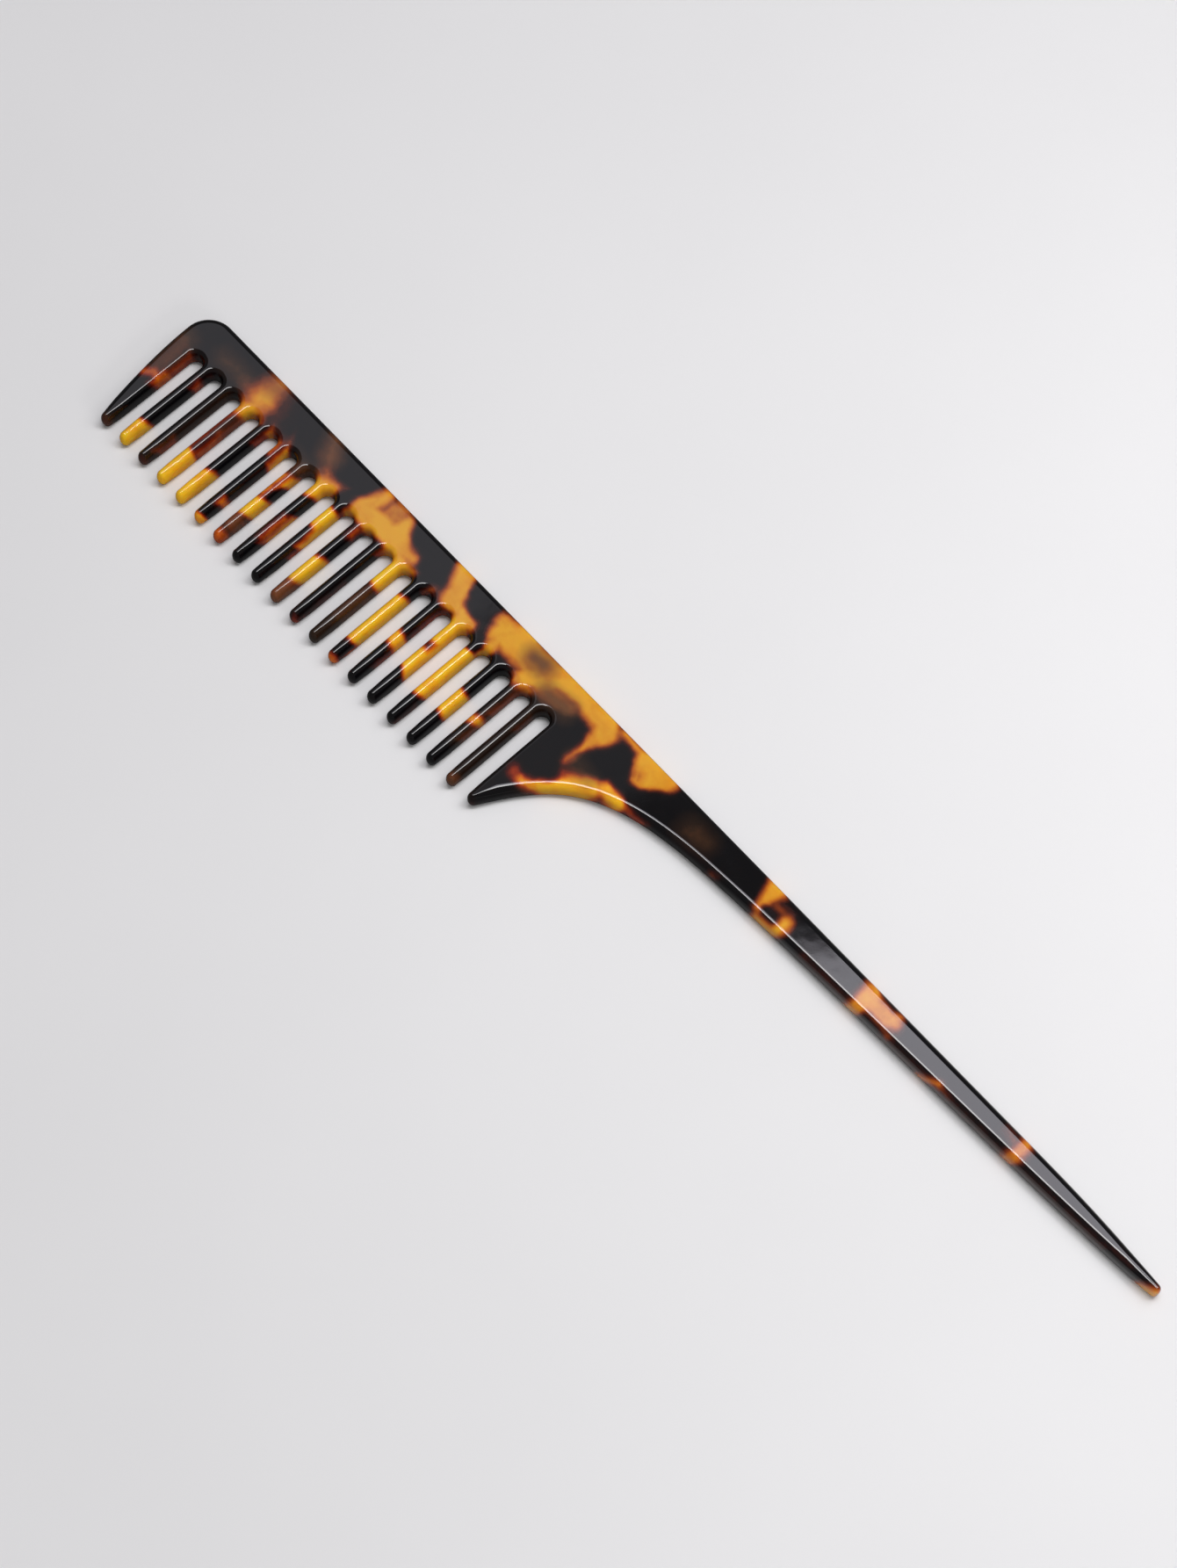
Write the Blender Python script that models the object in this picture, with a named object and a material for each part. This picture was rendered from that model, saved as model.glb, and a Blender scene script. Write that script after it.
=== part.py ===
"""Wide tooth tail comb, sawn and tumbled from one flat sheet of cellulose acetate.

The comb lies flat: +X runs from the head to the tip of the tail, +Y from the
teeth to the spine and +Z up through the sheet. Its underside is at Z = 0.

The whole comb is drawn once, as the outline of the sheet with rounded edges.
That blank is then divided where the comb changes character: eighteen teeth,
the guard at each end of them, the spine that they stand on, and the tail.
"""

from math import cos, pi, radians, sin

import bmesh
import bpy
from mathutils import Vector

MM = 0.001

# ---- sheet -----------------------------------------------------------------
SHEET = 3.7            # thickness of the acetate sheet
EDGE_R = 0.75          # rounding of every edge, top and bottom
EDGE_STEPS = 2         # bevel resolution of that rounding

# ---- teeth, all in mm: X from the front guard's centre, Y from the tips ------
PITCH = 4.6            # tooth to tooth
TOOTH_COUNT = 18       # teeth between the two guards
TOOTH_W = 1.9
TIP_R = TOOTH_W / 2
SLOT_W = PITCH - TOOTH_W
SLOT_R = SLOT_W / 2
SLOT_ROOT = 18.6       # height of the slots' rounded roots over the tips

# ---- head ------------------------------------------------------------------
COMB_W = 25.7          # tips to the straight back
HEAD_X = -3.37         # the head's outer end
CORNER_R = 4.87        # between the head's end and the back
LEAN = radians(11.8)   # the front guard's outer side leans out from its tip
LEAN_REACH = (5.9, 6.7)

# ---- heel ------------------------------------------------------------------
HEEL_X = PITCH * (TOOTH_COUNT + 1) - 0.02
HEEL_TIP_Y = 0.29      # the heel stops short of the teeth
HEEL_TIP_R = 0.93
HEEL_RISE = radians(63)
HEEL_REACH = (12.4, 21.0)

# ---- tail ------------------------------------------------------------------
NECK = (119.6, 19.25)  # where the heel's sweep has run out into the tail
NECK_RISE = radians(4.2)
TAIL_REACH = (26.0, 13.7)
TAIL_TIP = (211.28, 23.93)
TAIL_TIP_R = 0.8
TAIL_RISE = radians(7.5)
BACK_END_X = 186.0     # the back is straight as far as this
BACK_DROP = radians(4.4)
BACK_REACH = (9.5, 9.0)

# ---- how the blank is divided -----------------------------------------------
GAP = 0.3
ROOT_CUT = 16.8        # across the teeth, just below the slots' rounded roots
TAIL_CUT = 120.0       # across the neck

ARC_STEPS = 10
CENTRE_X = (HEAD_X + TAIL_TIP[0] + TAIL_TIP_R) / 2
CENTRE_Y = COMB_W / 2

AMBER = (0.62, 0.30, 0.05)
HONEY = (0.36, 0.13, 0.03)
BROWN = (0.10, 0.03, 0.015)
SMOKE = (0.018, 0.012, 0.012)

TOOTH_TINTS = (
    SMOKE, BROWN, AMBER, SMOKE, BROWN, AMBER, BROWN, SMOKE, AMBER,
    SMOKE, BROWN, AMBER, BROWN, AMBER, AMBER, BROWN, BROWN, SMOKE,
)


def clear_scene():
    for obj in list(bpy.data.objects):
        bpy.data.objects.remove(obj, do_unlink=True)
    for coll in list(bpy.data.collections):
        bpy.data.collections.remove(coll)


def new_collection(name):
    coll = bpy.data.collections.new(name)
    bpy.context.scene.collection.children.link(coll)
    return coll


def acetate(name, colour):
    """Polished acetate in one tint of the tortoiseshell."""
    mat = bpy.data.materials.new(name)
    mat.use_nodes = True
    shader = mat.node_tree.nodes["Principled BSDF"]
    shader.inputs["Base Color"].default_value = (*colour, 1.0)
    shader.inputs["Roughness"].default_value = 0.12
    shader.inputs["Metallic"].default_value = 0.0
    mat.diffuse_color = (*colour, 1.0)
    return mat


# ---- outline ----------------------------------------------------------------
# Each run of the outline is a list of (point, outward normal) pairs in mm.

def arc(centre, radius, start, end, steps=ARC_STEPS, hollow=False):
    """Round an outside corner, or with hollow the inside of a notch."""
    run = []
    side = -1.0 if hollow else 1.0
    for i in range(steps + 1):
        a = start + (end - start) * i / steps
        ray = Vector((cos(a), sin(a)))
        run.append((Vector(centre) + radius * ray, side * ray))
    return run


def sweep(start, out_dir, end, in_dir, reach, steps):
    """A Bezier edge with the outside of the comb on its right."""
    p0, p3 = Vector(start), Vector(end)
    p1 = p0 + reach[0] * Vector((cos(out_dir), sin(out_dir)))
    p2 = p3 - reach[1] * Vector((cos(in_dir), sin(in_dir)))
    run = []
    for i in range(steps + 1):
        t = i / steps
        s = 1.0 - t
        point = s**3 * p0 + 3 * s * s * t * p1 + 3 * s * t * t * p2 + t**3 * p3
        way = s * s * (p1 - p0) + 2 * s * t * (p2 - p1) + t * t * (p3 - p2)
        way.normalize()
        run.append((point, Vector((way.y, -way.x))))
    return run


def rim(centre, radius, normal):
    """The point of a rounded end whose outward normal has this direction."""
    return (centre[0] + radius * cos(normal), centre[1] + radius * sin(normal))


def comb_outline():
    """The comb's plan, counter-clockwise from the front guard's tip."""
    guard_tip = (0.0, TIP_R)
    heel_tip = (HEEL_X, HEEL_TIP_Y + HEEL_TIP_R)
    root_y = SLOT_ROOT - SLOT_R

    run = arc(guard_tip, TIP_R, LEAN - pi, 0.0)
    for n in range(TOOTH_COUNT + 1):
        run += arc(((n + 0.5) * PITCH, root_y), SLOT_R, pi, 0.0, hollow=True)
        if n < TOOTH_COUNT:
            run += arc(((n + 1) * PITCH, TIP_R), TIP_R, -pi, 0.0)

    heel_end = HEEL_RISE - pi / 2
    run += arc(heel_tip, HEEL_TIP_R, -pi, heel_end)
    run += sweep(rim(heel_tip, HEEL_TIP_R, heel_end), HEEL_RISE,
                 NECK, NECK_RISE, HEEL_REACH, 26)[1:]

    tail_low = TAIL_RISE - pi / 2
    tail_top = pi / 2 - BACK_DROP
    run += sweep(NECK, NECK_RISE, rim(TAIL_TIP, TAIL_TIP_R, tail_low),
                 TAIL_RISE, TAIL_REACH, 16)[1:]
    run += arc(TAIL_TIP, TAIL_TIP_R, tail_low, tail_top)[1:]

    run += sweep(rim(TAIL_TIP, TAIL_TIP_R, tail_top), pi - BACK_DROP,
                 (BACK_END_X, COMB_W), pi, BACK_REACH, 10)[1:]
    corner = (HEAD_X + CORNER_R, COMB_W - CORNER_R)
    run += arc(corner, CORNER_R, pi / 2, pi)
    run += sweep((HEAD_X, corner[1]), -pi / 2, rim(guard_tip, TIP_R, LEAN - pi),
                 LEAN - pi / 2, LEAN_REACH, 10)[1:-1]
    return run


def sheet_blank(name, run, coll):
    """The outline as a rounded slab: a filled 2D curve, made a welded mesh."""
    curve = bpy.data.curves.new(name, "CURVE")
    curve.dimensions = "2D"
    curve.fill_mode = "BOTH"
    curve.extrude = (SHEET / 2 - EDGE_R) * MM
    curve.bevel_depth = EDGE_R * MM
    curve.bevel_resolution = EDGE_STEPS
    spline = curve.splines.new("POLY")
    spline.points.add(len(run) - 1)
    for point, (place, normal) in zip(spline.points, run):
        flat = place - EDGE_R * normal
        point.co = ((flat.x - CENTRE_X) * MM, (flat.y - CENTRE_Y) * MM, 0.0, 1.0)
    spline.use_cyclic_u = True

    drawn = bpy.data.objects.new(name, curve)
    drawn.location.z = SHEET / 2 * MM
    coll.objects.link(drawn)
    bpy.context.view_layer.update()

    graph = bpy.context.evaluated_depsgraph_get()
    mesh = bpy.data.meshes.new_from_object(drawn.evaluated_get(graph))
    mesh.transform(drawn.matrix_world)
    bpy.data.objects.remove(drawn, do_unlink=True)

    bm = bmesh.new()
    bm.from_mesh(mesh)
    bmesh.ops.remove_doubles(bm, verts=bm.verts, dist=1e-6)
    bmesh.ops.recalc_face_normals(bm, faces=bm.faces)
    bm.to_mesh(mesh)
    bm.free()
    mesh.name = name
    return mesh


def window(name, x_range, y_range, coll):
    """A box that takes in one piece of the blank, through its full thickness."""
    bpy.ops.mesh.primitive_cube_add(size=1.0)
    box = bpy.context.active_object
    box.name = name
    for user in list(box.users_collection):
        user.objects.unlink(box)
    coll.objects.link(box)
    size = Vector((x_range[1] - x_range[0], y_range[1] - y_range[0], SHEET + 4.0))
    box.data.transform(((size.x * MM, 0, 0, 0), (0, size.y * MM, 0, 0),
                        (0, 0, size.z * MM, 0), (0, 0, 0, 1)))
    box.location = ((sum(x_range) / 2 - CENTRE_X) * MM,
                    (sum(y_range) / 2 - CENTRE_Y) * MM, SHEET / 2 * MM)
    box.hide_render = True
    box.display_type = "WIRE"
    return box


def cut_piece(name, blank, box, tint, coll):
    """The part of the blank inside a window, as an object of its own."""
    piece = bpy.data.objects.new(name, blank.copy())
    coll.objects.link(piece)
    cut = piece.modifiers.new("window", "BOOLEAN")
    cut.operation = "INTERSECT"
    cut.solver = "EXACT"
    cut.object = box
    piece.data.materials.clear()
    piece.data.materials.append(acetate(name + "_acetate", tint))
    piece.data.shade_smooth()
    piece.data.set_sharp_from_angle(angle=radians(40))
    return piece


def main():
    clear_scene()
    comb = new_collection("wide_tooth_comb")
    windows = new_collection("windows")

    blank = sheet_blank("sheet_blank", comb_outline(), comb)
    half = GAP / 2
    low = (-3.0, ROOT_CUT - half)
    high = (ROOT_CUT + half, COMB_W + 3.0)
    first_slot = PITCH / 2
    last_slot = (TOOTH_COUNT + 0.5) * PITCH

    pieces = [
        ("spine", (HEAD_X - 5, TAIL_CUT - half), high, HONEY),
        ("tail", (TAIL_CUT + half, TAIL_TIP[0] + 6), (-3.0, COMB_W + 3.0), SMOKE),
        ("front_guard", (HEAD_X - 5, first_slot), low, BROWN),
        ("heel_guard", (last_slot, TAIL_CUT - half), low, SMOKE),
    ]
    for name, x_range, y_range, tint in pieces:
        box = window(name + "_window", x_range, y_range, windows)
        cut_piece(name, blank, box, tint, comb)

    for n in range(TOOTH_COUNT):
        name = f"tooth_{n + 1:02d}"
        span = ((n + 0.5) * PITCH, (n + 1.5) * PITCH)
        box = window(name + "_window", span, low, windows)
        cut_piece(name, blank, box, TOOTH_TINTS[n], comb)

    bpy.data.meshes.remove(blank)


main()
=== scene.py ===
"""Wide tooth tail comb in polished tortoiseshell acetate, lying on a pale floor.

The comb is one unbroken piece of sheet, so one fine mesh stands for all of the
CAD nodes. It is laid out in millimetres in the comb's own drawing frame: X from
the front guard's centre line, Y from the tooth tips, Z from the underside.
"""

from math import cos, pi, radians, sin

import bpy
import numpy as np
from mathutils import Matrix, Vector, noise
from mathutils.geometry import delaunay_2d_cdt


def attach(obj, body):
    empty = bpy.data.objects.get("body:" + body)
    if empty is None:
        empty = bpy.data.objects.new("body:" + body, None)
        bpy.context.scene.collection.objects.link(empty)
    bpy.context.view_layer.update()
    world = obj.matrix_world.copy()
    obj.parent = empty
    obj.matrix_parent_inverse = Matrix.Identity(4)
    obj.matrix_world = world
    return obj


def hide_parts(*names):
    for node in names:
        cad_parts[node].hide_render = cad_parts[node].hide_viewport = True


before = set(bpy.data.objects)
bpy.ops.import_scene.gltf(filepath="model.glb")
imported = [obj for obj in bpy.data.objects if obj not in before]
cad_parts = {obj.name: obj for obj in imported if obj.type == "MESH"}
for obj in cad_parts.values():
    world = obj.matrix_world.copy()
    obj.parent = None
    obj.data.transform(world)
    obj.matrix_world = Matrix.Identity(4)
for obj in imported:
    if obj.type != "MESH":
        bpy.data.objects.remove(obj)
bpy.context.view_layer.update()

MM = 0.001

# ---- the comb's dimensions, the same as its CAD ------------------------------
SHEET = 3.7
PITCH = 4.6
TOOTH_COUNT = 18
TIP_R = 0.95
SLOT_R = PITCH / 2 - TIP_R
SLOT_ROOT = 18.6
COMB_W = 25.7
HEAD_X = -3.37
CORNER_R = 4.87
LEAN = radians(11.8)
LEAN_REACH = (5.9, 6.7)
HEEL_TIP = (PITCH * (TOOTH_COUNT + 1) - 0.02, 1.22)
HEEL_TIP_R = 0.93
HEEL_RISE = radians(63)
HEEL_REACH = (12.4, 21.0)
NECK = (119.6, 19.25)
NECK_RISE = radians(4.2)
TAIL_REACH = (26.0, 13.7)
TAIL_TIP = (211.28, 23.93)
TAIL_TIP_R = 0.8
TAIL_RISE = radians(7.5)
BACK_END_X = 186.0
BACK_DROP = radians(4.4)
BACK_REACH = (9.5, 9.0)
CENTRE_X = (HEAD_X + TAIL_TIP[0] + TAIL_TIP_R) / 2
CENTRE_Y = COMB_W / 2

# ---- how the tumbled edges are rounded ----------------------------------------
EDGE_TOOTH = 0.92      # how far the rounding reaches in from a tooth's side
EDGE_ROOT = 1.15       # over the slots' roots
EDGE_HEEL = 1.35       # along the heel and the tail's lower edge
EDGE_BACK = 1.1        # along the back and round the head
EDGE_TIP = 0.78        # at the tip of the tail
EDGE_POWER = 2.6       # the section above the middle: 2 is an ellipse
UNDER_POWER = 3.4      # below it: squarer, because that side is tumbled less
TIP_POWER = 2.0        # at the tips of the teeth, which are fully rounded
TIP_REACH = (0.8, 4.4) # y over which a tooth's section changes to its shaft's
EDGE_RINGS = 8         # from the flat to the middle of the sheet
STEP = 0.36            # spacing of points along the outline and over the flats
CURVE_STEP = 0.3       # on the two curves that bend the most
SHRINK = 0.002         # keeps the mesh inside the CAD's box
CLEAR = 0.03           # left between the roundings of two sides that meet

# how the reach of the rounding is evened out along the outline
EVEN_STEP = 0.1
EVEN_REACHES = (21, 15)
GUARD_TOP = 6.0        # the front guard's tip, below this
GUARD_SPREAD = 0.035   # how fast the reach grows up from it
HEEL_Y = (1.2, 4.2, 9.5)
HEEL_EDGES = (0.90, 1.65, EDGE_HEEL)
HEEL_END_X = 100.0     # the heel's swept edge is left of this

# the tail's height in plan near its tip, which both roundings share
TAIL_X = (186, 198, 204.5, 209.3, 211.0, 213)
TAIL_HEIGHTS = (4.5, 3.6, 2.6, 1.8, 1.6, 1.6)
TAIL_SHARED = 198.0    # from here on
LOW_SHARE = 0.56       # the lower edge's part of that height
HIGH_SHARE = 0.44


# ==============================================================================
# Outline
# ==============================================================================

def arc(centre, radius, start, end, edge, hollow=False, step=0.2):
    """Rows of x, y, outward normal and edge reach round a corner or a notch."""
    count = max(8, int(abs(end - start) * radius / step))
    rows = []
    side = -1.0 if hollow else 1.0
    for i in range(count + 1):
        a = start + (end - start) * i / count
        x, y = centre[0] + radius * cos(a), centre[1] + radius * sin(a)
        rows.append((x, y, side * cos(a), side * sin(a), edge))
    return rows


def sweep(start, out_dir, end, in_dir, reach, edge, step=STEP):
    """The same rows along a Bezier edge, with the outside on its right."""
    p0, p3 = Vector(start), Vector(end)
    p1 = p0 + reach[0] * Vector((cos(out_dir), sin(out_dir)))
    p2 = p3 - reach[1] * Vector((cos(in_dir), sin(in_dir)))
    count = max(8, int((p3 - p0).length / step))
    rows = []
    for i in range(count + 1):
        t = i / count
        s = 1.0 - t
        point = s**3 * p0 + 3 * s * s * t * p1 + 3 * s * t * t * p2 + t**3 * p3
        way = s * s * (p1 - p0) + 2 * s * t * (p2 - p1) + t * t * (p3 - p2)
        way.normalize()
        rows.append((point.x, point.y, way.y, -way.x, edge))
    return rows


def straight(rows, to, edge):
    """Points between the last row and a place, on a straight run."""
    x, y, nx, ny, _ = rows[-1]
    length = ((to[0] - x) ** 2 + (to[1] - y) ** 2) ** 0.5
    count = max(1, int(length / STEP))
    return [
        (x + (to[0] - x) * i / count, y + (to[1] - y) * i / count, nx, ny, edge)
        for i in range(1, count)
    ]


def rim(centre, radius, normal):
    """The point of a corner's circle that faces the given way."""
    return (centre[0] + radius * cos(normal), centre[1] + radius * sin(normal))


def comb_outline():
    """The comb's plan, counter-clockwise from the front guard's tip."""
    root_y = SLOT_ROOT - SLOT_R
    rows = arc((0, TIP_R), TIP_R, LEAN - pi, 0.0, EDGE_TOOTH)
    for n in range(TOOTH_COUNT + 1):
        x = (n + 0.5) * PITCH
        rows += straight(rows, (x - SLOT_R, root_y), EDGE_TOOTH)
        rows += arc((x, root_y), SLOT_R, pi, 0.0, EDGE_ROOT, hollow=True)
        last = n == TOOTH_COUNT
        tip = HEEL_TIP if last else (x + PITCH / 2, TIP_R)
        tip_r = HEEL_TIP_R if last else TIP_R
        rows += straight(rows, (tip[0] - tip_r, tip[1]), EDGE_TOOTH)
        rows += arc(tip, tip_r, -pi, HEEL_RISE - pi / 2 if last else 0.0, EDGE_TOOTH)

    tail_low = TAIL_RISE - pi / 2
    tail_top = pi / 2 - BACK_DROP
    rows += sweep(rim(HEEL_TIP, HEEL_TIP_R, HEEL_RISE - pi / 2), HEEL_RISE,
                  NECK, NECK_RISE, HEEL_REACH, EDGE_HEEL, CURVE_STEP)[1:]
    rows += sweep(NECK, NECK_RISE, rim(TAIL_TIP, TAIL_TIP_R, tail_low),
                  TAIL_RISE, TAIL_REACH, EDGE_HEEL)[1:]
    rows += arc(TAIL_TIP, TAIL_TIP_R, tail_low, tail_top, EDGE_TIP)[1:]
    rows += sweep(rim(TAIL_TIP, TAIL_TIP_R, tail_top), pi - BACK_DROP,
                  (BACK_END_X, COMB_W), pi, BACK_REACH, EDGE_BACK)[1:]
    corner = (HEAD_X + CORNER_R, COMB_W - CORNER_R)
    rows += straight(rows, (corner[0], COMB_W), EDGE_BACK)
    rows += arc(corner, CORNER_R, pi / 2, pi, EDGE_BACK)
    rows += sweep((HEAD_X, corner[1]), -pi / 2, rim((0, TIP_R), TIP_R, LEAN - pi),
                  LEAN - pi / 2, LEAN_REACH, EDGE_BACK, CURVE_STEP)[1:-1]
    return np.array(rows)


def evened(rows):
    """The reach of the rounding at each row, changing gently round the outline."""
    gap = np.hypot(*(np.roll(rows[:, :2], -1, 0) - rows[:, :2]).T)
    place = np.concatenate([[0], np.cumsum(gap)[:-1]])
    total = gap.sum()
    even = np.linspace(0, total, int(total / EVEN_STEP), endpoint=False)
    level = np.interp(even, place, rows[:, 4], period=total)
    for reach in EVEN_REACHES:
        wide = np.concatenate([level[-reach:], level, level[:reach]])
        kernel = np.hanning(2 * reach + 1)
        level = np.convolve(wide, kernel / kernel.sum(), "valid")
    return np.interp(place, even, level, period=total)


def settle_edges(rows):
    """Let the reach of the rounding change gently, and never pass the middle."""
    x, y = rows[:, 0], rows[:, 1]
    edge = evened(rows)

    on_tooth = (y < SLOT_ROOT - SLOT_R) & (x > -0.01) & (x < HEEL_TIP[0] - 0.5)
    edge[on_tooth] = np.minimum(edge[on_tooth], EDGE_TOOTH)
    # over the roots the rounding of neighbouring slots must not meet either
    over_root = (y >= SLOT_ROOT - SLOT_R) & (y < SLOT_ROOT + 0.1) & (x > 0)
    over_root &= x < HEEL_TIP[0]
    room = PITCH / 2 / np.maximum(np.abs(rows[:, 2]), 0.1) - SLOT_R - CLEAR
    edge[over_root] = np.minimum(edge, room)[over_root]
    guard = (y < GUARD_TOP) & (x < 0)
    edge[guard] = np.minimum(edge[guard], EDGE_TOOTH + GUARD_SPREAD * y[guard])
    heel = (y < HEEL_Y[-1]) & (x > HEEL_TIP[0] + 0.3) & (x < HEEL_END_X)
    edge[heel] = np.interp(y[heel], HEEL_Y, HEEL_EDGES)
    heel_tip = np.hypot(x - HEEL_TIP[0], y - HEEL_TIP[1]) < HEEL_TIP_R + 0.05
    edge[heel_tip] = np.minimum(edge[heel_tip], HEEL_TIP_R - CLEAR)
    tail = x > TAIL_SHARED
    low = rows[:, 3] < 0
    height = np.interp(x, TAIL_X, TAIL_HEIGHTS)
    edge[tail & low] = np.minimum(edge, LOW_SHARE * height - CLEAR)[tail & low]
    edge[tail & ~low] = np.minimum(edge, HIGH_SHARE * height - CLEAR)[tail & ~low]
    end = x > TAIL_TIP[0] - 0.3
    edge[end] = np.minimum(edge[end], EDGE_TIP)
    rows[:, 4] = edge
    return rows


# ==============================================================================
# Mesh
# ==============================================================================

ROW_RATIO = 0.87       # spacing of the flat's rows of points, over that in a row
KEEP_AWAY = 0.6        # of a step, from the innermost ring
GRID_LOW = SLOT_ROOT - 2.0             # the teeth below this have no flat to fill
GUARDS_X = (2.0, 86.0)                 # but both guards do, outside these
CHUNK = 400            # grid points tested at a time


def inside_points(loop):
    """Points of a triangular grid that lie well inside a loop."""
    low, high = loop.min(0), loop.max(0)
    xs = np.arange(low[0], high[0], STEP)
    ys = np.arange(low[1], high[1], STEP * ROW_RATIO)
    gx, gy = np.meshgrid(xs, ys)
    gx[1::2] += STEP / 2
    grid = np.stack([gx.ravel(), gy.ravel()], 1)
    guards = (grid[:, 0] < GUARDS_X[0]) | (grid[:, 0] > GUARDS_X[1])
    grid = grid[(grid[:, 1] > GRID_LOW) | guards]

    a, b = loop, np.roll(loop, -1, 0)
    keep = []
    for chunk in np.array_split(grid, max(1, len(grid) // CHUNK)):
        p = chunk[:, None]
        crosses = (a[:, 1] > p[..., 1]) != (b[:, 1] > p[..., 1])
        run = b[:, 1] - a[:, 1]
        run = np.where(run == 0, 1e-12, run)
        at = a[:, 0] + (p[..., 1] - a[:, 1]) / run * (b[:, 0] - a[:, 0])
        inside = (crosses & (p[..., 0] < at)).sum(1) % 2 == 1
        near = (((p - a) ** 2).sum(-1)).min(1) < (KEEP_AWAY * STEP) ** 2
        keep.append(chunk[inside & ~near])
    return np.concatenate(keep)


def flat_fill(loop):
    """Triangles over the flat inside the innermost ring, with points of its own."""
    points = [Vector(p) for p in np.concatenate([loop, inside_points(loop)])]
    edges = [(i, (i + 1) % len(loop)) for i in range(len(loop))]
    verts, _, faces, origin, _, _ = delaunay_2d_cdt(points, edges, [], 1, 1e-7)
    return verts, faces, origin


def edge_rings(rows):
    """Points and normals of the rounded edge, ring by ring from top to bottom."""
    plan, normal, edge = rows[:, :2], rows[:, 2:4], rows[:, 4:5]
    half = SHEET / 2
    shaft = np.clip((plan[:, 1:] - TIP_REACH[0]) / (TIP_REACH[1] - TIP_REACH[0]), 0, 1)
    shaft = shaft * shaft * (3 - 2 * shaft)

    coords, normals = [], []
    angles = np.linspace(pi / 2, -pi / 2, 2 * EDGE_RINGS + 1)
    for angle in angles:
        c, s = max(cos(angle), 0.0), sin(angle)
        power = TIP_POWER + shaft * ((EDGE_POWER if s > 0 else UNDER_POWER) - TIP_POWER)
        out = c ** (2 / power)
        up = abs(s) ** (2 / power) * (1 if s > 0 else -1 if s < 0 else 0)
        flat = plan - normal * (edge * (1 - out) + SHRINK)
        z = half + (half - SHRINK / 2) * up
        coords.append(np.hstack([flat, z]))
        slope = out ** (power - 1) / edge
        lift = np.abs(up) ** (power - 1) / half * np.sign(up)
        n = np.hstack([normal * slope, lift])
        normals.append(n / np.linalg.norm(n, axis=1, keepdims=True))
    return np.concatenate(coords), np.concatenate(normals)


def comb_mesh(name):
    """The whole comb as one closed surface, and its points in drawing millimetres."""
    rows = settle_edges(comb_outline())
    apart = np.hypot(*(rows[:, :2] - np.roll(rows[:, :2], 1, 0)).T) > 1e-4
    rows = rows[apart]
    count = len(rows)
    half = SHEET / 2
    coords, normals = edge_rings(rows)

    faces = []
    last_ring = 2 * EDGE_RINGS * count
    for ring in range(2 * EDGE_RINGS):
        base, below = ring * count, (ring + 1) * count
        for i in range(count):
            j = (i + 1) % count
            faces.append((base + i, below + i, below + j, base + j))

    loop = coords[:count, :2]
    verts, tris, origin = flat_fill(loop)
    flat_xy = np.array([tuple(v) for v in verts])
    extra = len(coords)
    own = [o[0] if o and o[0] < count else -1 for o in origin]
    loose = [i for i, o in enumerate(own) if o < 0]
    number = {v: k for k, v in enumerate(loose)}
    for side in (1, -1):
        z = half + (half - SHRINK / 2) * side
        ring_base = 0 if side > 0 else last_ring
        start = extra if side > 0 else extra + len(loose)
        top = [ring_base + own[i] if own[i] >= 0 else start + number[i]
               for i in range(len(verts))]
        for tri in tris:
            f = tuple(top[i] for i in tri)
            faces.append(f if side > 0 else f[::-1])
        added = np.hstack([flat_xy[loose], np.full((len(loose), 1), z)])
        coords = np.vstack([coords, added])
        normals = np.vstack([normals, np.tile((0.0, 0.0, float(side)), (len(loose), 1))])

    mesh = bpy.data.meshes.new(name)
    world = (coords - (CENTRE_X, CENTRE_Y, 0.0)) * MM
    mesh.from_pydata(world.tolist(), [], faces)
    mesh.validate()
    mesh.shade_smooth()
    mesh.normals_split_custom_set_from_vertices(normals.tolist())
    return mesh, coords


comb_data, comb_mm = comb_mesh("comb")
comb = bpy.data.objects.new("comb", comb_data)
bpy.context.scene.collection.objects.link(comb)
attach(comb, "root")
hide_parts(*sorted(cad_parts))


# ==============================================================================
# Tortoiseshell pattern
# ==============================================================================
# A stroke is its strength and the places it runs through: x, y and half width, on
# the top face. A band crosses one tooth: tooth number, lower and upper y, left and
# right limits from the tooth's centre line, the slope of its ends, its strength.
# Tooth 0 is the front guard and tooth 19 the heel guard. The sheet is taken as
# sliced aslant from a block, so everything shifts with depth.

WHOLE = (-1.4, 3.2)    # limits that take in all of a tooth

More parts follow.
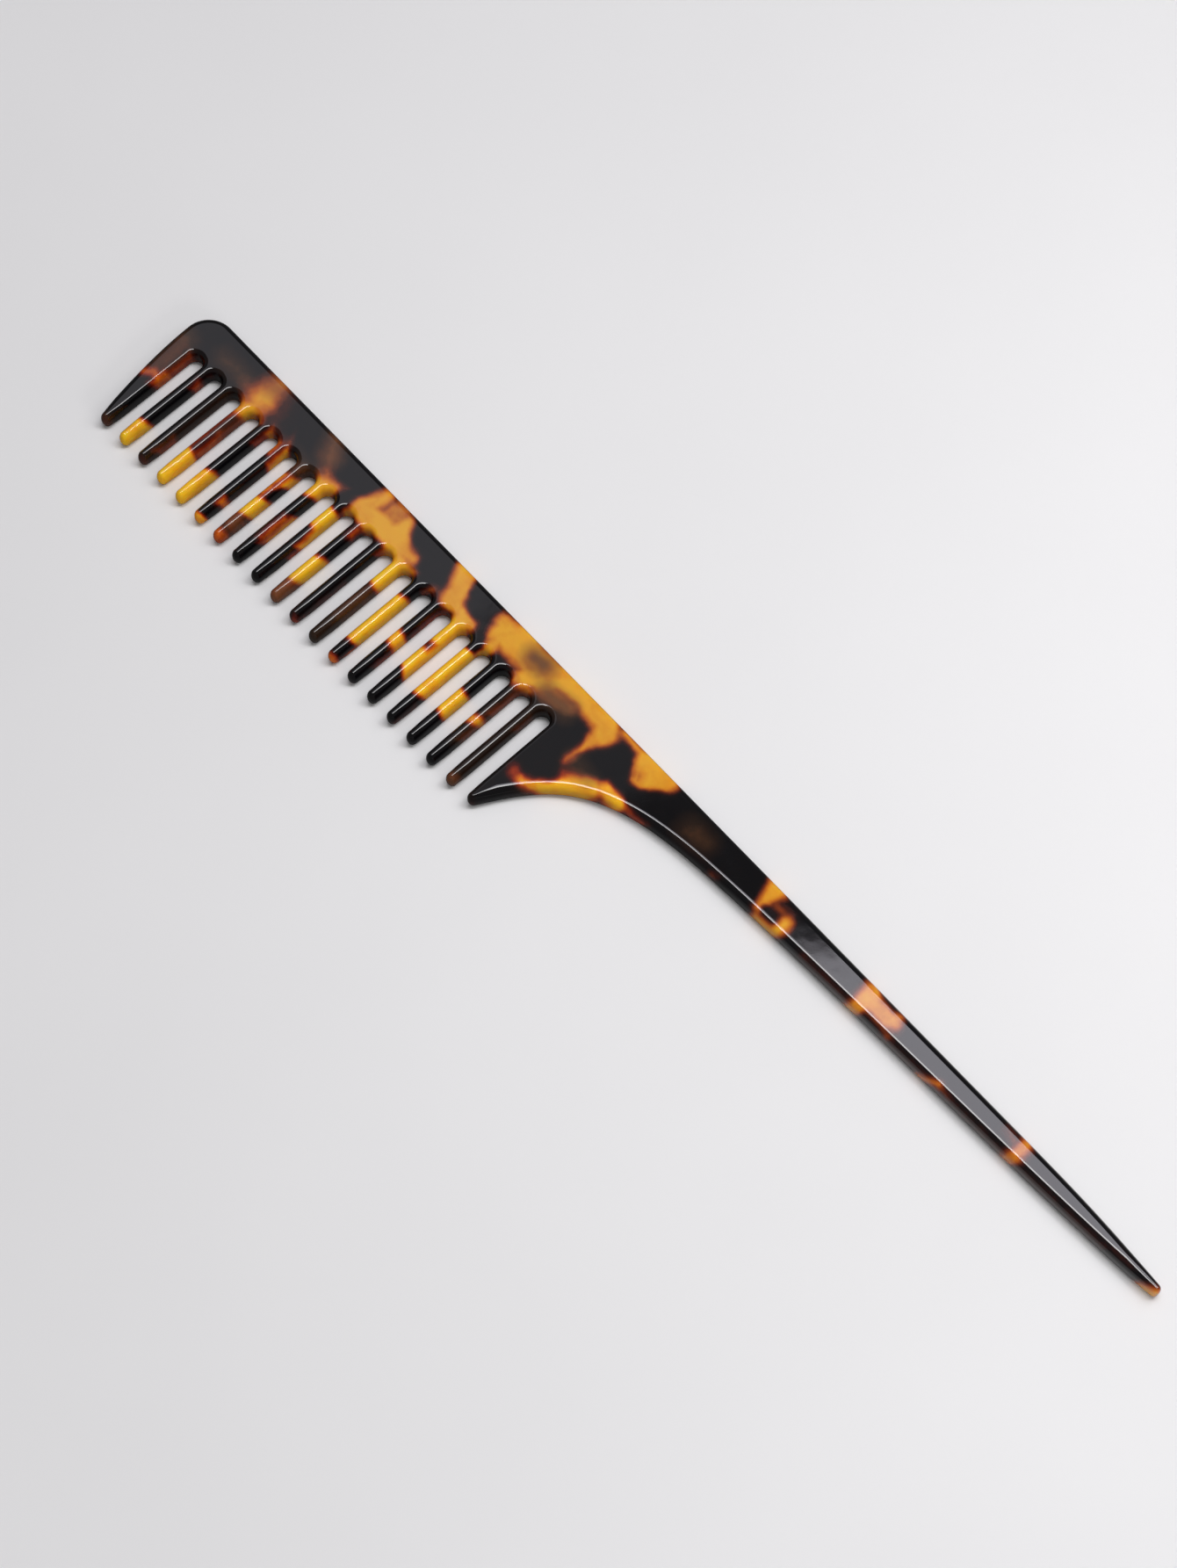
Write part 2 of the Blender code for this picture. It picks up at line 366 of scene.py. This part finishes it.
AMBER_STROKES = (
    # front guard and the head of the spine
    (0.22, (-1.5, 18.8, 1.6), (-1.0, 13.0, 1.3)),
    (0.58, (-1.9, 10.2, 0.9), (-0.6, 11.4, 1.0), (1.0, 11.0, 0.9)),
    (0.18, (5.0, 21.3, 1.2), (10.0, 21.2, 1.3)),
    (0.98, (14.4, 20.9, 1.9), (15.6, 21.3, 1.8)),
    (0.72, (14.7, 25.4, 2.0), (14.8, 22.5, 2.6)),
    (0.50, (11.4, 20.8, 1.1), (13.0, 21.0, 1.3)),
    (0.85, (14.9, 19.8, 1.7), (14.9, 17.8, 1.4)),
    (0.62, (12.5, 19.3, 0.6), (13.5, 18.5, 0.7)),
    (0.66, (16.3, 19.6, 0.8), (17.7, 18.1, 0.5)),
    (0.33, (18.8, 21.2, 1.2), (17.9, 24.5, 0.9)),
    (0.40, (28.2, 25.0, 1.4), (29.6, 22.4, 1.7), (31.0, 20.7, 1.2)),
    (0.68, (31.0, 20.3, 0.7), (32.6, 19.2, 0.9)),
    # first amber run
    (1.00, (39.9, 20.3, 1.9), (41.1, 24.9, 1.0)),
    (1.00, (39.9, 19.9, 1.9), (44.0, 20.4, 2.1), (48.0, 20.4, 2.1)),
    (1.00, (46.6, 23.6, 1.2), (47.2, 20.8, 2.2)),
    (0.95, (48.0, 20.3, 1.8), (51.9, 20.2, 1.0)),
    (0.90, (48.6, 19.6, 1.5), (48.9, 17.9, 1.2)),
    (0.85, (39.8, 19.4, 1.3), (38.9, 17.9, 1.0)),
    (0.50, (44.4, 25.8, 2.2), (44.2, 24.2, 2.2)),
    (0.64, (44.0, 23.4, 2.2), (43.8, 22.4, 2.0)),
    (0.60, (42.0, 18.6, 0.7), (44.4, 18.9, 0.8)),
    # second and third
    (1.00, (59.2, 25.4, 2.1), (60.3, 22.6, 2.0), (61.2, 20.4, 2.0)),
    (0.92, (60.4, 19.9, 1.3), (66.2, 19.7, 1.2)),
    (0.62, (58.0, 19.0, 0.8), (57.4, 17.9, 0.5)),
    (1.00, (71.5, 23.6, 2.7), (71.0, 20.6, 2.5)),
    (1.00, (69.7, 24.0, 2.0), (74.2, 21.8, 2.2)),
    (1.00, (73.0, 20.8, 2.0), (79.0, 20.1, 1.5)),
    (0.95, (79.0, 20.1, 1.3), (81.0, 21.8, 1.5), (82.5, 24.2, 1.8)),
    (0.95, (75.5, 23.2, 2.2), (80.5, 23.4, 2.2)),
    (0.85, (79.5, 21.2, 1.9), (86.8, 21.5, 1.2)),
    (1.00, (74.0, 25.0, 1.5), (82.0, 25.3, 1.2)),
    (1.00, (82.0, 24.6, 1.9), (92.5, 24.2, 2.4), (94.1, 22.6, 2.1)),
    (0.85, (93.3, 20.8, 1.4), (92.8, 17.8, 0.9), (92.6, 15.4, 0.6)),
    (0.85, (96.0, 25.0, 0.9), (100.0, 24.9, 0.9)),
    (1.00, (101.3, 24.5, 1.8), (105.5, 24.7, 2.3)),
    (1.00, (101.9, 23.6, 1.8), (102.6, 21.5, 1.4)),
    (1.00, (104.8, 23.4, 1.6), (103.2, 21.9, 1.4)),
    # along the heel
    (1.00, (100.9, 16.7, 1.8), (103.4, 16.3, 1.4)),
    (1.00, (98.8, 14.6, 2.2), (95.6, 12.0, 2.1), (93.8, 10.2, 1.9)),
    (0.66, (103.5, 16.9, 1.0), (108.6, 17.4, 0.7)),
    (0.82, (92.4, 8.9, 1.4), (90.8, 8.6, 1.2)),
    (0.48, (90.8, 8.6, 1.2), (88.7, 8.5, 1.3)),
    (0.50, (96.6, 14.9, 1.3), (93.8, 13.8, 0.8)),
    # tail
    (0.15, (114.2, 21.8, 1.8), (117.0, 22.2, 1.5)),
    (0.15, (113.0, 19.4, 0.6), (119.0, 19.8, 0.7)),
    (0.45, (121.5, 19.4, 0.7), (122.2, 19.4, 0.7)),
    (1.00, (129.8, 25.0, 2.1), (129.9, 23.0, 1.15)),
    (0.90, (129.9, 22.8, 0.9), (129.8, 21.0, 0.7)),
    (0.85, (130.4, 20.6, 0.7), (131.0, 19.7, 0.8)),
    (0.98, (131.0, 19.4, 0.9), (134.5, 19.8, 1.2)),
    (1.00, (134.4, 20.0, 1.2), (134.6, 22.2, 1.2)),
    (0.42, (131.8, 23.2, 1.0), (134.0, 23.2, 1.0)),
    (0.76, (151.9, 23.7, 2.1), (155.8, 23.3, 1.8)),
    (0.80, (151.2, 24.6, 1.8), (151.3, 20.4, 1.6)),
    (0.70, (156.3, 24.6, 1.4), (157.3, 23.4, 1.2)),
    (0.58, (153.4, 21.6, 0.7), (157.6, 21.2, 0.6)),
    (0.75, (165.7, 20.4, 0.8), (168.2, 21.7, 0.9)),
    (0.36, (168.4, 21.8, 0.9), (171.0, 21.2, 0.8)),
    (0.24, (177.0, 21.0, 0.7), (178.4, 21.0, 0.7)),
    (0.68, (183.4, 25.0, 1.5), (183.5, 20.7, 1.5)),
    (0.40, (180.0, 24.5, 0.9), (181.5, 24.3, 0.9)),
    (0.28, (180.0, 21.0, 0.8), (181.4, 21.0, 0.8)),
    (0.15, (186.0, 21.8, 0.9), (192.0, 22.0, 0.8)),
    (0.24, (203.0, 23.1, 0.7), (206.6, 23.4, 0.6)),
    (0.25, (140.0, 20.5, 0.9), (150.0, 20.6, 0.9)),
    (0.25, (158.0, 20.9, 0.9), (182.0, 21.2, 0.9), (202.0, 22.3, 0.8)),
    (0.95, (210.2, 22.1, 0.8), (212.0, 23.0, 1.3)),
)

AMBER_BANDS = (
    (0, 9.4, 13.2, 0.2, 3.2, 0.0, 0.60), (0, 12.0, 18.2, 0.5, 3.2, 0.0, 0.46),
    (0, -2.0, 0.9, *WHOLE, 0.0, 0.24),
    (1, -2.0, 4.9, *WHOLE, 0.2, 1.0), (1, 13.6, 15.7, 0.6, 2.4, 0.0, 0.55),
    (1, 16.5, 18.2, 0.9, 2.2, 0.0, 0.24),
    (2, 2.3, 6.6, 0.8, 3.2, 0.0, 0.42), (2, 6.4, 18.0, 1.2, 3.2, 0.0, 0.18),
    (2, -2.0, 0.8, *WHOLE, 0.0, 0.25),
    (3, -2.0, 6.7, *WHOLE, -0.25, 1.0), (3, 6.4, 12.6, 0.7, 3.2, 0.0, 0.52),
    (3, 11.8, 17.2, 0.7, 3.2, 0.0, 0.44), (3, 6.4, 17.6, -1.4, 0.2, 0.0, 0.46),
    (3, 16.0, 19.6, *WHOLE, 0.0, 0.75),
    (4, -2.0, 7.0, *WHOLE, 0.2, 1.0), (4, 14.6, 18.5, 0.9, 2.3, -0.5, 0.46),
    (4, 17.4, 19.4, 1.0, 3.2, -0.5, 0.80),
    (5, -2.0, 1.2, *WHOLE, 0.3, 0.86), (5, 3.5, 5.7, 0.3, 3.2, 0.0, 0.74),
    (5, 5.4, 12.0, 1.4, 3.2, 0.0, 0.24), (5, 14.0, 18.9, 0.8, 3.2, -0.9, 0.98),
    (5, 15.2, 19.0, -1.4, 0.4, 0.0, 0.62),
    (6, -2.0, 2.3, *WHOLE, 0.0, 0.56), (6, 2.2, 5.7, *WHOLE, 0.0, 0.40),
    (6, 5.8, 9.9, *WHOLE, 0.3, 1.0), (6, 9.5, 15.8, -1.4, 0.3, 0.0, 0.74),
    (6, 12.2, 15.8, 0.3, 3.2, 0.7, 0.86), (6, 15.8, 19.0, *WHOLE, 0.0, 0.2),
    (7, 15.4, 19.8, *WHOLE, 0.3, 0.95), (7, 4.2, 10.8, 1.2, 3.2, 0.8, 0.90),
    (7, 4.4, 10.8, 0.1, 1.8, 0.0, 0.54),
    (8, 12.0, 16.9, *WHOLE, -0.25, 1.0), (8, 8.2, 13.0, 0.8, 3.2, 0.0, 0.97),
    (8, 5.8, 9.4, 1.6, 3.2, 0.0, 0.70), (8, 17.2, 19.2, 1.2, 3.2, 0.0, 0.55),
    (9, 4.0, 10.2, *WHOLE, 0.25, 1.0), (9, -2.0, 4.2, *WHOLE, 0.0, 0.42),
    (9, 15.2, 18.2, 0.0, 1.8, 0.0, 0.52), (9, 17.8, 19.6, 1.1, 3.6, -0.3, 0.7),
    (10, -2.0, 0.6, 0.2, 2.2, 0.0, 0.36), (10, 0.0, 10.0, 1.5, 3.2, 0.0, 0.4),
    (10, 16.6, 19.6, 1.3, 3.6, 0.0, 0.75),
    (11, 12.5, 19.8, *WHOLE, -0.2, 1.0), (11, 4.6, 12.6, *WHOLE, 0.0, 0.19),
    (12, 4.0, 15.1, *WHOLE, 0.2, 0.99), (12, 1.0, 4.5, 1.5, 3.2, 0.0, 0.8),
    (12, -2.0, 0.8, *WHOLE, 0.0, 0.66),
    (13, 7.9, 10.6, *WHOLE, -0.3, 0.95), (13, 3.6, 8.4, 1.4, 3.2, 0.0, 0.50),
    (13, 11.0, 18.7, 1.2, 3.2, 0.0, 0.46),
    (14, 6.3, 19.8, *WHOLE, -0.75, 1.0),
    (15, 5.7, 16.9, *WHOLE, 0.1, 1.0), (15, 16.5, 19.8, 1.1, 3.2, 0.0, 0.95),
    (15, -1.0, 4.4, 1.5, 3.2, 0.0, 0.42),
    (16, 6.2, 11.4, *WHOLE, -0.25, 1.0),
    (17, 17.6, 19.8, *WHOLE, 0.0, 0.70), (17, 11.3, 18.0, 0.7, 3.2, 0.0, 0.46),
    (17, 8.7, 10.8, *WHOLE, 0.2, 0.80), (17, 5.5, 9.2, 0.7, 3.2, 0.0, 0.36),
    (18, 12.4, 16.6, 0.8, 2.3, 0.0, 0.34), (18, -2.0, 1.7, *WHOLE, 0.0, 0.30),
    (18, 1.6, 19.0, 0.9, 3.2, 0.0, 0.10), (19, -2.0, 0.5, *WHOLE, 0.0, 0.26),
)

DARK_STROKES = (
    (1.00, (53.9, 23.9, 2.6), (54.4, 22.9, 2.0)),
    (1.00, (64.7, 23.9, 2.6), (64.9, 23.0, 2.1)),
    (0.85, (68.2, 20.2, 0.8), (69.4, 18.6, 0.9)),
    (0.75, (68.6, 25.8, 0.6), (71.0, 25.8, 0.6)),
    (0.70, (76.5, 25.9, 0.6), (80.0, 25.9, 0.6)),
    (0.34, (76.6, 23.2, 1.2), (79.2, 23.4, 1.3)),
    (0.44, (83.0, 21.0, 1.1), (86.8, 21.0, 1.4)),
    (1.00, (88.2, 18.9, 2.0), (89.7, 18.6, 2.2), (89.8, 13.5, 2.1)),
    (1.00, (89.8, 13.5, 2.1), (90.4, 11.9, 2.0), (92.3, 12.2, 1.4)),
    (0.45, (102.2, 22.0, 0.6), (102.7, 21.3, 0.6)),
    (1.00, (97.4, 22.0, 1.7), (97.0, 18.8, 1.9), (95.5, 17.5, 1.5)),
    (1.00, (98.9, 20.5, 1.5), (101.4, 19.1, 0.9), (104.0, 19.2, 1.1)),
    (1.00, (104.0, 19.2, 1.1), (108.5, 21.0, 1.8), (111.8, 23.4, 2.2)),
    (1.00, (104.4, 18.0, 0.6), (109.0, 18.6, 0.7), (114.0, 19.4, 0.8)),
    (0.95, (131.3, 21.1, 0.55), (132.9, 21.2, 0.55)),
    (0.95, (153.2, 25.9, 0.8), (155.6, 25.9, 0.8)),
    (0.80, (153.6, 20.9, 0.45), (156.0, 20.8, 0.45)),
)

DARK_BANDS = (
    (5, 1.4, 3.5, 0.0, 3.2, 0.0, 0.9), (6, 10.2, 12.8, 1.1, 3.2, 0.8, 0.9),
    (8, 17.2, 20.0, -1.4, 0.6, 0.0, 0.8), (12, 1.2, 3.7, -0.6, 1.6, 0.0, 1.0),
    (14, 11.7, 13.2, -1.0, 0.6, 0.0, 0.75), (15, 17.1, 20.0, -1.4, 0.9, 0.0, 0.85),
    (16, 12.0, 20.2, *WHOLE, 0.0, 0.9),
)

SMOKE_STROKES = (
    (0.60, (-1.5, 18.8, 1.6), (-1.0, 13.0, 1.3)),
    (0.60, (5.0, 21.3, 1.2), (10.0, 21.2, 1.3)),
    (0.50, (14.7, 25.6, 1.8), (14.8, 23.8, 1.8)),
    (0.70, (28.2, 25.0, 1.5), (29.8, 22.4, 1.9)),
    (0.22, (44.4, 25.4, 1.5), (44.3, 24.0, 1.2)),
    (1.00, (76.9, 23.3, 1.7), (79.0, 23.4, 1.8)),
    (1.00, (82.4, 20.9, 1.5), (86.6, 21.0, 1.6)),
    (0.70, (93.6, 16.4, 1.1), (97.8, 15.8, 1.1)),
    (0.42, (92.6, 7.6, 1.2), (98.4, 12.2, 1.3), (102.0, 14.8, 1.0)),
    (0.50, (114.0, 21.8, 2.0), (117.0, 22.2, 1.6)),
)

SMOKE_BANDS = (
    (0, -2.0, 0.9, *WHOLE, 0.0, 0.6), (2, -2.0, 18.0, 0.8, 3.2, 0.0, 0.4),
    (3, 11.8, 17.0, 0.5, 3.2, 0.0, 0.5), (6, 2.4, 5.5, *WHOLE, 0.0, 0.8),
    (6, 15.8, 19.4, *WHOLE, 0.0, 0.6), (9, -2.0, 4.0, *WHOLE, 0.0, 0.85),
    (11, -2.0, 12.3, *WHOLE, 0.0, 0.6), (17, 11.0, 18.0, 0.5, 3.2, 0.0, 0.5),
    (17, 5.0, 9.0, 0.5, 3.2, 0.0, 0.6), (18, -2.0, 1.8, *WHOLE, 0.0, 0.8),
    (18, 1.6, 19.4, *WHOLE, 0.0, 0.3),
)

FADE_TOOTH = 0.75      # half the width in mm of a patch's soft border on the teeth
FADE_SPINE = 1.0       # on the spine, heel and tail
FADE_HEAD = 1.9        # towards the head, where the patches lie deeper
FADE_SMOKE = 1.5
HEAD_END = (26.0, 38.0)
FUSE = 4.0             # higher lets overlapping patches join with less of a fillet
BAND_MIDDLE = 0.85     # a tooth's middle as it shows, from its centre line
SLANT = (0.34, -0.235) # how far the pattern moves for each mm of depth
WANDER = ((0.38, 3.4), (0.14, 1.1))    # how far borders wander, over what length
DEPTH_WANDER = 0.3     # how much slower they wander down through the sheet
TEETH_END = PITCH * TOOTH_COUNT + 3.2  # the teeth's borders are left of this
TEETH_BELOW = (SLOT_ROOT + 1.0, 1.5)   # and below this, coming in over this length
GLOW_BELOW = (SLOT_ROOT + 0.8, 2.5)    # the same for the teeth's lighter colours, a painted glow of the light passing through them


def stroke_depth(u, v, places):
    """How far inside a stroke each point is, in mm, less than 0 outside."""
    best = np.full_like(u, -100.0)
    for (x0, y0, r0), (x1, y1, r1) in zip(places, places[1:]):
        dx, dy = x1 - x0, y1 - y0
        t = np.clip(((u - x0) * dx + (v - y0) * dy) / (dx * dx + dy * dy), 0, 1)
        away = np.hypot(u - x0 - t * dx, v - y0 - t * dy)
        best = np.maximum(best, r0 + t * (r1 - r0) - away)
    return best


def band_depth(u, v, tooth, low, high, left, right, slope):
    """The same for a band across one tooth."""
    across = u - tooth * PITCH
    tilt = slope * (across - BAND_MIDDLE)
    return np.minimum.reduce([v - low - tilt, high + tilt - v, across - left, right - across])


def pattern(u, v, strokes, bands, fade):
    """All the patches of one kind, joined, from 0 to 1 at each point."""
    layers = [(row[0], stroke_depth(u, v, row[1:])) for row in strokes]
    layers += [(row[6], band_depth(u, v, *row[:6])) for row in bands]
    total = np.zeros_like(u)
    for strength, depth in layers:
        level = np.clip(0.5 + depth / (2 * fade), 0, 1)
        total += (level * strength) ** FUSE
    return np.minimum(total ** (1 / FUSE), 1.0)


def drift(points, size, offset):
    """Smooth noise from -1 to 1 at each point, its features about size mm across."""
    shift = Vector(offset)
    return np.array([noise.noise(Vector(p) / size + shift) for p in points])


def paint(mesh, mm):
    """Write the pattern onto the mesh as numbers that the material reads."""
    depth = SHEET - mm[:, 2]
    u = mm[:, 0] + depth * SLANT[0]
    v = mm[:, 1] + depth * SLANT[1]
    place = np.stack([u, v, depth * DEPTH_WANDER], 1)
    for reach, size in WANDER:
        u = u + reach * drift(place, size, (3.1, 0, 0))
        v = v + reach * drift(place, size, (0, 7.7, 0))

    spine = np.interp(u, HEAD_END, (FADE_HEAD, FADE_SPINE))
    teeth = np.clip((TEETH_BELOW[0] - v) / TEETH_BELOW[1], 0, 1) * (u < TEETH_END)
    fade = spine + teeth * (FADE_TOOTH - spine)
    amber = pattern(u, v, AMBER_STROKES, AMBER_BANDS, fade)
    dark = pattern(u, v, DARK_STROKES, DARK_BANDS, fade)
    smoke = pattern(u, v, SMOKE_STROKES, SMOKE_BANDS, FADE_SMOKE)
    amber = amber * (1 - dark)
    # painted glow: below the roots the teeth take the lighter colours, for the light passing
    # through them
    painted_teeth_glow = np.clip((GLOW_BELOW[0] - mm[:, 1]) / GLOW_BELOW[1], 0, 1)
    for name, values in (("amber", amber), ("smoke", smoke), ("painted_teeth_glow", painted_teeth_glow)):
        layer = mesh.attributes.new(name, "FLOAT", "POINT")
        layer.data.foreach_set("value", values.astype(np.float32))


paint(comb_data, comb_mm)


# ==============================================================================
# Material
# ==============================================================================

class Tree:
    """Short calls for adding and joining nodes."""

    def __init__(self, mat):
        mat.use_nodes = True
        self.nodes, self.links = mat.node_tree.nodes, mat.node_tree.links
        self.shader = self.nodes["Principled BSDF"]

    def put(self, socket, value):
        if isinstance(value, bpy.types.NodeSocket):
            self.links.new(value, socket)
        else:
            socket.default_value = value

    def maths(self, operation, a, b=0.0, clamp=False):
        node = self.nodes.new("ShaderNodeMath")
        node.operation, node.use_clamp = operation, clamp
        self.put(node.inputs[0], a)
        self.put(node.inputs[1], b)
        return node.outputs[0]

    def fit(self, value, low, high, to_low, to_high):
        node = self.nodes.new("ShaderNodeMapRange")
        for socket, given in zip(node.inputs, (value, low, high, to_low, to_high)):
            self.put(socket, given)
        return node.outputs[0]

    def mix(self, factor, a, b, blend="MIX"):
        node = self.nodes.new("ShaderNodeMix")
        node.data_type, node.blend_type = "RGBA", blend
        self.put(node.inputs[0], factor)
        self.put(node.inputs[6], a)
        self.put(node.inputs[7], b)
        return node.outputs[2]

    def noise(self, vector, scale, detail=2.0, rough=0.5, distortion=0.0):
        node = self.nodes.new("ShaderNodeTexNoise")
        self.put(node.inputs["Vector"], vector)
        node.inputs["Scale"].default_value = scale
        node.inputs["Detail"].default_value = detail
        node.inputs["Roughness"].default_value = rough
        node.inputs["Distortion"].default_value = distortion
        return node.outputs[0]

    def ramp(self, value, stops):
        node = self.nodes.new("ShaderNodeValToRGB")
        self.put(node.inputs[0], value)
        ramp = node.color_ramp
        while len(ramp.elements) < len(stops):
            ramp.elements.new(0.5)
        for element, (place, colour) in zip(ramp.elements, stops):
            element.position = place
            element.color = (*colour, 1.0)
        return node.outputs[0]

    def attribute(self, name):
        node = self.nodes.new("ShaderNodeAttribute")
        node.attribute_name = name
        return node.outputs["Fac"]

    def bump(self, height, strength, distance, onto=None):
        node = self.nodes.new("ShaderNodeBump")
        node.inputs["Strength"].default_value = strength
        node.inputs["Distance"].default_value = distance
        self.put(node.inputs["Height"], height)
        if onto is not None:
            self.put(node.inputs["Normal"], onto)
        return node.outputs[0]


# colours of the acetate from no amber to full amber, in the body and in the teeth; the
# teeth's are painted lighter, a painted glow of the light they let through
BODY_COLOURS = (
    (0.00, (0.0032, 0.0028, 0.0036)), (0.13, (0.0075, 0.0034, 0.0036)),
    (0.29, (0.0460, 0.0080, 0.0045)), (0.45, (0.2050, 0.0360, 0.0085)),
    (0.61, (0.4700, 0.1200, 0.0130)), (0.79, (0.6500, 0.2550, 0.0180)),
    (1.00, (0.7350, 0.3750, 0.0270)),
)
TEETH_GLOW_COLOURS = (
    (0.00, (0.0032, 0.0028, 0.0034)), (0.13, (0.0085, 0.0034, 0.0030)),
    (0.29, (0.0620, 0.0058, 0.0036)), (0.45, (0.2700, 0.0270, 0.0055)),
    (0.61, (0.5900, 0.1200, 0.0085)), (0.79, (0.8000, 0.3300, 0.0130)),
    (1.00, (0.9100, 0.5000, 0.0200)),
)
SMOKE_COLOUR = (0.145, 0.066, 0.027, 1.0)


def tortoiseshell():
    """Polished acetate, coloured by the amber and smoke attributes, with the teeth painted
    lighter as a painted glow.
    """
    mat = bpy.data.materials.new("tortoiseshell_acetate")
    t = Tree(mat)
    at = t.nodes.new("ShaderNodeTexCoord").outputs["Object"]

    grain = t.maths("SUBTRACT", t.noise(at, 900, 3, 0.55, 0.4), 0.5)
    cloud = t.noise(at, 210, 2, 0.5, 0.6)
    amber = t.maths("ADD", t.attribute("amber"), t.maths("MULTIPLY", grain, 0.16))
    amber = t.maths("MULTIPLY", amber, t.fit(cloud, 0.3, 0.7, 0.86, 1.06), clamp=True)

    body = t.ramp(amber, BODY_COLOURS)
    # the teeth's ramp is lighter: a painted glow of the light passing through them
    teeth = t.ramp(amber, TEETH_GLOW_COLOURS)
    colour = t.mix(t.attribute("painted_teeth_glow"), body, teeth)
    veil = t.maths("MULTIPLY", t.attribute("smoke"), t.fit(amber, 0.05, 0.4, 0.25, 0.92))
    colour = t.mix(veil, colour, SMOKE_COLOUR)
    t.put(t.shader.inputs["Base Color"], colour)

    glow = t.fit(amber, 0.15, 0.85, 0.0, 0.85)
    t.put(t.shader.inputs["Subsurface Weight"], glow)
    t.shader.inputs["Subsurface Radius"].default_value = (1.0, 0.50, 0.12)
    t.shader.inputs["Subsurface Scale"].default_value = 0.0022

    smear = t.noise(at, 75, 3, 0.6, 0.8)
    t.put(t.shader.inputs["Roughness"], t.fit(smear, 0.3, 0.75, 0.015, 0.07))
    t.shader.inputs["IOR"].default_value = 1.48

    polish = t.bump(t.noise(at, 160, 2, 0.5), 0.25, 0.00006)
    scuffs = t.bump(t.noise(at, 5200, 2, 0.6), 0.10, 0.000012, polish)
    t.put(t.shader.inputs["Normal"], scuffs)
    return mat


comb_data.materials.append(tortoiseshell())


# ==============================================================================
# Floor, lights and camera
# ==============================================================================

def comb_place(x, y, z):
    """A place in the comb's drawing frame, in metres in the scene."""
    return Vector(((x - CENTRE_X) * MM, (y - CENTRE_Y) * MM, z * MM))


FLOOR_REACH = 3.0            # metres from the middle to each side
FLOOR_TONES = ((0.745, 0.74, 0.745, 1), (0.795, 0.79, 0.795, 1))
REFLECTION_SHADE_ENDS = (0.016, 0.046)   # X in metres over which the painted reflection shade fades out
REFLECTION_SHADE_TONES = (0.10, 0.50)    # painted shade: the floor's tone as the head mirrors it, and as the tail does


def make_floor():
    """A pale floor, painted dark only in reflections, where the head's polished sides mirror
    it.
    """
    mesh = bpy.data.meshes.new("floor")
    reach = FLOOR_REACH
    mesh.from_pydata([(-reach, -reach, 0), (reach, -reach, 0), (reach, reach, 0),
                      (-reach, reach, 0)], [], [(0, 1, 2, 3)])
    floor = bpy.data.objects.new("floor", mesh)
    bpy.context.scene.collection.objects.link(floor)
    mat = bpy.data.materials.new("pale_floor")
    t = Tree(mat)
    at = t.nodes.new("ShaderNodeTexCoord").outputs["Object"]
    tone = t.noise(at, 14, 3, 0.5)
    pale = t.mix(tone, *FLOOR_TONES)
    split = t.nodes.new("ShaderNodeSeparateXYZ")
    t.put(split.inputs[0], at)
    # painted shade in reflections: the floor is darker towards the head, and only glossy rays
    # see it
    painted_reflection_shade = t.fit(split.outputs[0], *REFLECTION_SHADE_ENDS, *REFLECTION_SHADE_TONES)
    mirrored = t.nodes.new("ShaderNodeLightPath").outputs["Is Glossy Ray"]
    t.put(t.shader.inputs["Base Color"], t.mix(mirrored, pale, painted_reflection_shade))
    t.shader.inputs["Roughness"].default_value = 0.75
    mesh.materials.append(mat)


def panel(name, centre, size, turn, radiance, tint=(1.0, 1.0, 1.0), glossy=True):
    """A soft box facing down over the comb, placed in the drawing frame in mm."""
    light = bpy.data.lights.new(name, "AREA")
    light.shape = "RECTANGLE"
    light.size, light.size_y = size[0] * MM, size[1] * MM
    light.energy = radiance * pi * light.size * light.size_y
    light.color = tint
    lamp = bpy.data.objects.new(name, light)
    bpy.context.scene.collection.objects.link(lamp)
    lamp.location = comb_place(*centre)
    lamp.rotation_euler = (0.0, 0.0, radians(turn))
    lamp.visible_glossy = glossy


COOL = (0.98, 0.96, 1.05)    # tint of the light from the window's side
WORLD_TINT = (1.0, 0.99, 0.98, 1)
WORLD_STRENGTH = 0.12

make_floor()
# each lamp: its name, centre, size, turn in degrees and radiance
panel("window_soft", (89.5, 390, 1200), (165, 900), -45, 4.9, COOL)
panel("window_core", (210, 270, 1200), (175, 900), -45, 14.5)
panel("wall", (-520, 300, 1200), (380, 700), 0, 0.78, COOL)
panel("wall_soft", (-270, 300, 1200), (120, 700), 0, 0.30, COOL)
panel("fill", (300, -165, 800), (400, 400), 0, 1.3, glossy=False)
panel("side_fill", (700, -60, 350), (300, 300), 0, 5.0, glossy=False)
panel("tail_lamp", (190, 170, 260), (160, 160), 0, 3.0, glossy=False)

world = bpy.data.worlds.new("studio")
world.use_nodes = True
background = world.node_tree.nodes["Background"]
background.inputs["Color"].default_value = WORLD_TINT
background.inputs["Strength"].default_value = WORLD_STRENGTH
bpy.context.scene.world = world

# the camera, as solved from the comb's outline in the photograph
CAMERA_PLACE = (239.20, -110.62, 521.44)       # drawing frame, mm
CAMERA_LENS = 82.81                            # mm, on a sensor 36 mm high
RIGHT = Vector((0.6735, 0.7392, -0.0037))
DOWN = Vector((0.6934, -0.6335, -0.3433))
AHEAD = Vector((-0.2561, 0.2286, -0.9392))

camera_data = bpy.data.cameras.new("camera")
camera_data.sensor_width = 36.0
camera_data.lens = CAMERA_LENS
camera_data.clip_start, camera_data.clip_end = 0.01, 20.0
camera = bpy.data.objects.new("camera", camera_data)
bpy.context.scene.collection.objects.link(camera)
turned = Matrix((RIGHT, -DOWN, -AHEAD)).transposed().to_quaternion()
camera.matrix_world = (
    Matrix.Translation(comb_place(*CAMERA_PLACE)) @ turned.to_matrix().to_4x4()
)
bpy.context.scene.camera = camera
bpy.context.scene.view_settings.view_transform = "Standard"
